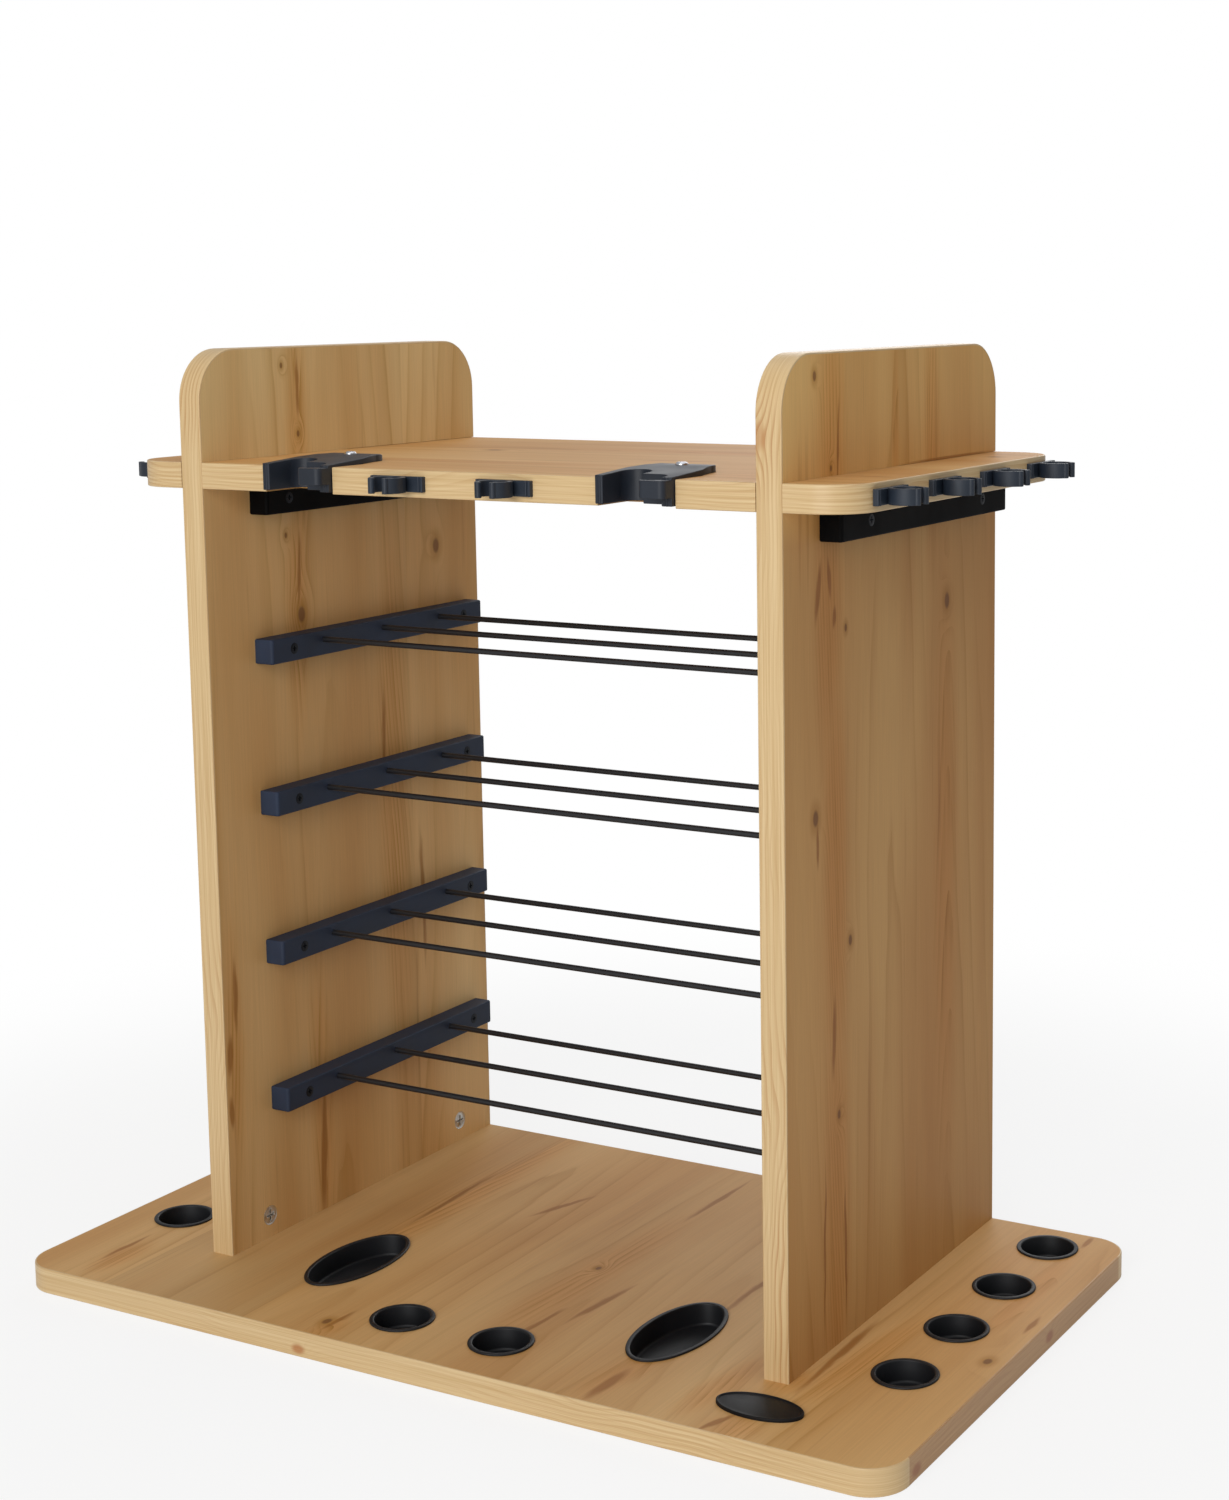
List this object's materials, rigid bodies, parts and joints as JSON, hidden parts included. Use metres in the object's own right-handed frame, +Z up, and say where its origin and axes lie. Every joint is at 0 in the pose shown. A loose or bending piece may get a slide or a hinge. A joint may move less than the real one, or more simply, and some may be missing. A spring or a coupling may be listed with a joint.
{
  "type": "fishing rod rack",
  "caption": "Free-standing wooden fishing rod rack: base board with butt cups, side panels with box rails and wires, top shelf with rod clips.",
  "frame": {"origin": "on the floor at the middle of the base board", "axes": "+X to the right along the front, +Y from front to back, +Z up"},
  "size_m": [0.575, 0.33, 0.552],
  "materials": {
    "base_laminate": "honey pine laminate, satin",
    "base_edge": "pale pine edge band, satin",
    "left_panel_laminate": "honey pine laminate, satin",
    "right_panel_laminate": "honey pine laminate, satin",
    "left_panel_edge": "pale pine edge band, satin",
    "right_panel_edge": "pale pine edge band, satin",
    "shelf_laminate": "honey pine laminate, satin",
    "shelf_edge": "pale pine edge band, satin",
    "cup_plastic": "black moulded plastic, satin",
    "name_plate": "black plate with a thin raised rim, satin",
    "clip_plastic": "black moulded plastic, satin",
    "dual_clip_plastic": "black moulded plastic, satin",
    "rail_plastic": "black moulded plastic, satin",
    "wire_steel": "steel wire, black coated",
    "cam_zinc": "die-cast zinc",
    "bolt_steel": "zinc-plated steel",
    "dowel_wood": "beech",
    "black_screw": "black-coated steel screw",
    "bright_screw": "zinc-plated steel screw"
  },
  "bodies": {
    "rack": {"base_board": "base_laminate", "base_edge_band": "base_edge", "left_panel": "left_panel_laminate", "left_panel_edge_band": "left_panel_edge", "right_panel": "right_panel_laminate", "right_panel_edge_band": "right_panel_edge", "top_shelf": "shelf_laminate", "top_shelf_edge_band": "shelf_edge", "round_cup_left_1": "cup_plastic", "round_cup_left_2": "cup_plastic", "round_cup_left_3": "cup_plastic", "round_cup_left_4": "cup_plastic", "round_cup_right_1": "cup_plastic", "round_cup_right_2": "cup_plastic", "round_cup_right_3": "cup_plastic", "round_cup_right_4": "cup_plastic", "round_cup_front_left": "cup_plastic", "round_cup_front_right": "cup_plastic", "oval_cup_left": "cup_plastic", "oval_cup_right": "cup_plastic", "name_plate": "name_plate", "rod_clip_left_1": "clip_plastic", "rod_clip_left_2": "clip_plastic", "rod_clip_left_3": "clip_plastic", "rod_clip_left_4": "clip_plastic", "rod_clip_right_1": "clip_plastic", "rod_clip_right_2": "clip_plastic", "rod_clip_right_3": "clip_plastic", "rod_clip_right_4": "clip_plastic", "rod_clip_front_left": "clip_plastic", "rod_clip_front_right": "clip_plastic", "dual_clip_left": "dual_clip_plastic", "dual_clip_right": "dual_clip_plastic", "box_rail_left_1": "rail_plastic", "box_rail_left_2": "rail_plastic", "box_rail_left_3": "rail_plastic", "box_rail_left_4": "rail_plastic", "box_rail_right_1": "rail_plastic", "box_rail_right_2": "rail_plastic", "box_rail_right_3": "rail_plastic", "box_rail_right_4": "rail_plastic", "box_wires_1": "wire_steel", "box_wires_2": "wire_steel", "box_wires_3": "wire_steel", "box_wires_4": "wire_steel", "shelf_bar_left_inner": "rail_plastic", "shelf_bar_left_outer": "rail_plastic", "shelf_bar_right_inner": "rail_plastic", "shelf_bar_right_outer": "rail_plastic", "cam_bolts": "bolt_steel", "dowels": "dowel_wood", "panel_screws": "black_screw", "shelf_screws": "black_screw", "clip_screws": "black_screw", "dual_clip_screws": "bright_screw"},
    "cam_left_front": {"cam_lock_left_front": "cam_zinc"},
    "cam_left_back": {"cam_lock_left_back": "cam_zinc"},
    "cam_right_front": {"cam_lock_right_front": "cam_zinc"},
    "cam_right_back": {"cam_lock_right_back": "cam_zinc"}
  },
  "joints": [
    {"name": "cam_lock_left_front_turn", "type": "hinge", "parent": "rack", "child": "cam_left_front", "pos_m": [-0.187, -0.064, 0.0285], "axis": [1, 0, 0], "range_deg": [0, 180]},
    {"name": "cam_lock_left_back_turn", "type": "hinge", "parent": "rack", "child": "cam_left_back", "pos_m": [-0.187, 0.13, 0.0285], "axis": [1, 0, 0], "range_deg": [0, 180]},
    {"name": "cam_lock_right_front_turn", "type": "hinge", "parent": "rack", "child": "cam_right_front", "pos_m": [0.187, -0.064, 0.0285], "axis": [1, 0, 0], "range_deg": [0, 180]},
    {"name": "cam_lock_right_back_turn", "type": "hinge", "parent": "rack", "child": "cam_right_back", "pos_m": [0.187, 0.13, 0.0285], "axis": [1, 0, 0], "range_deg": [0, 180]}
  ]
}
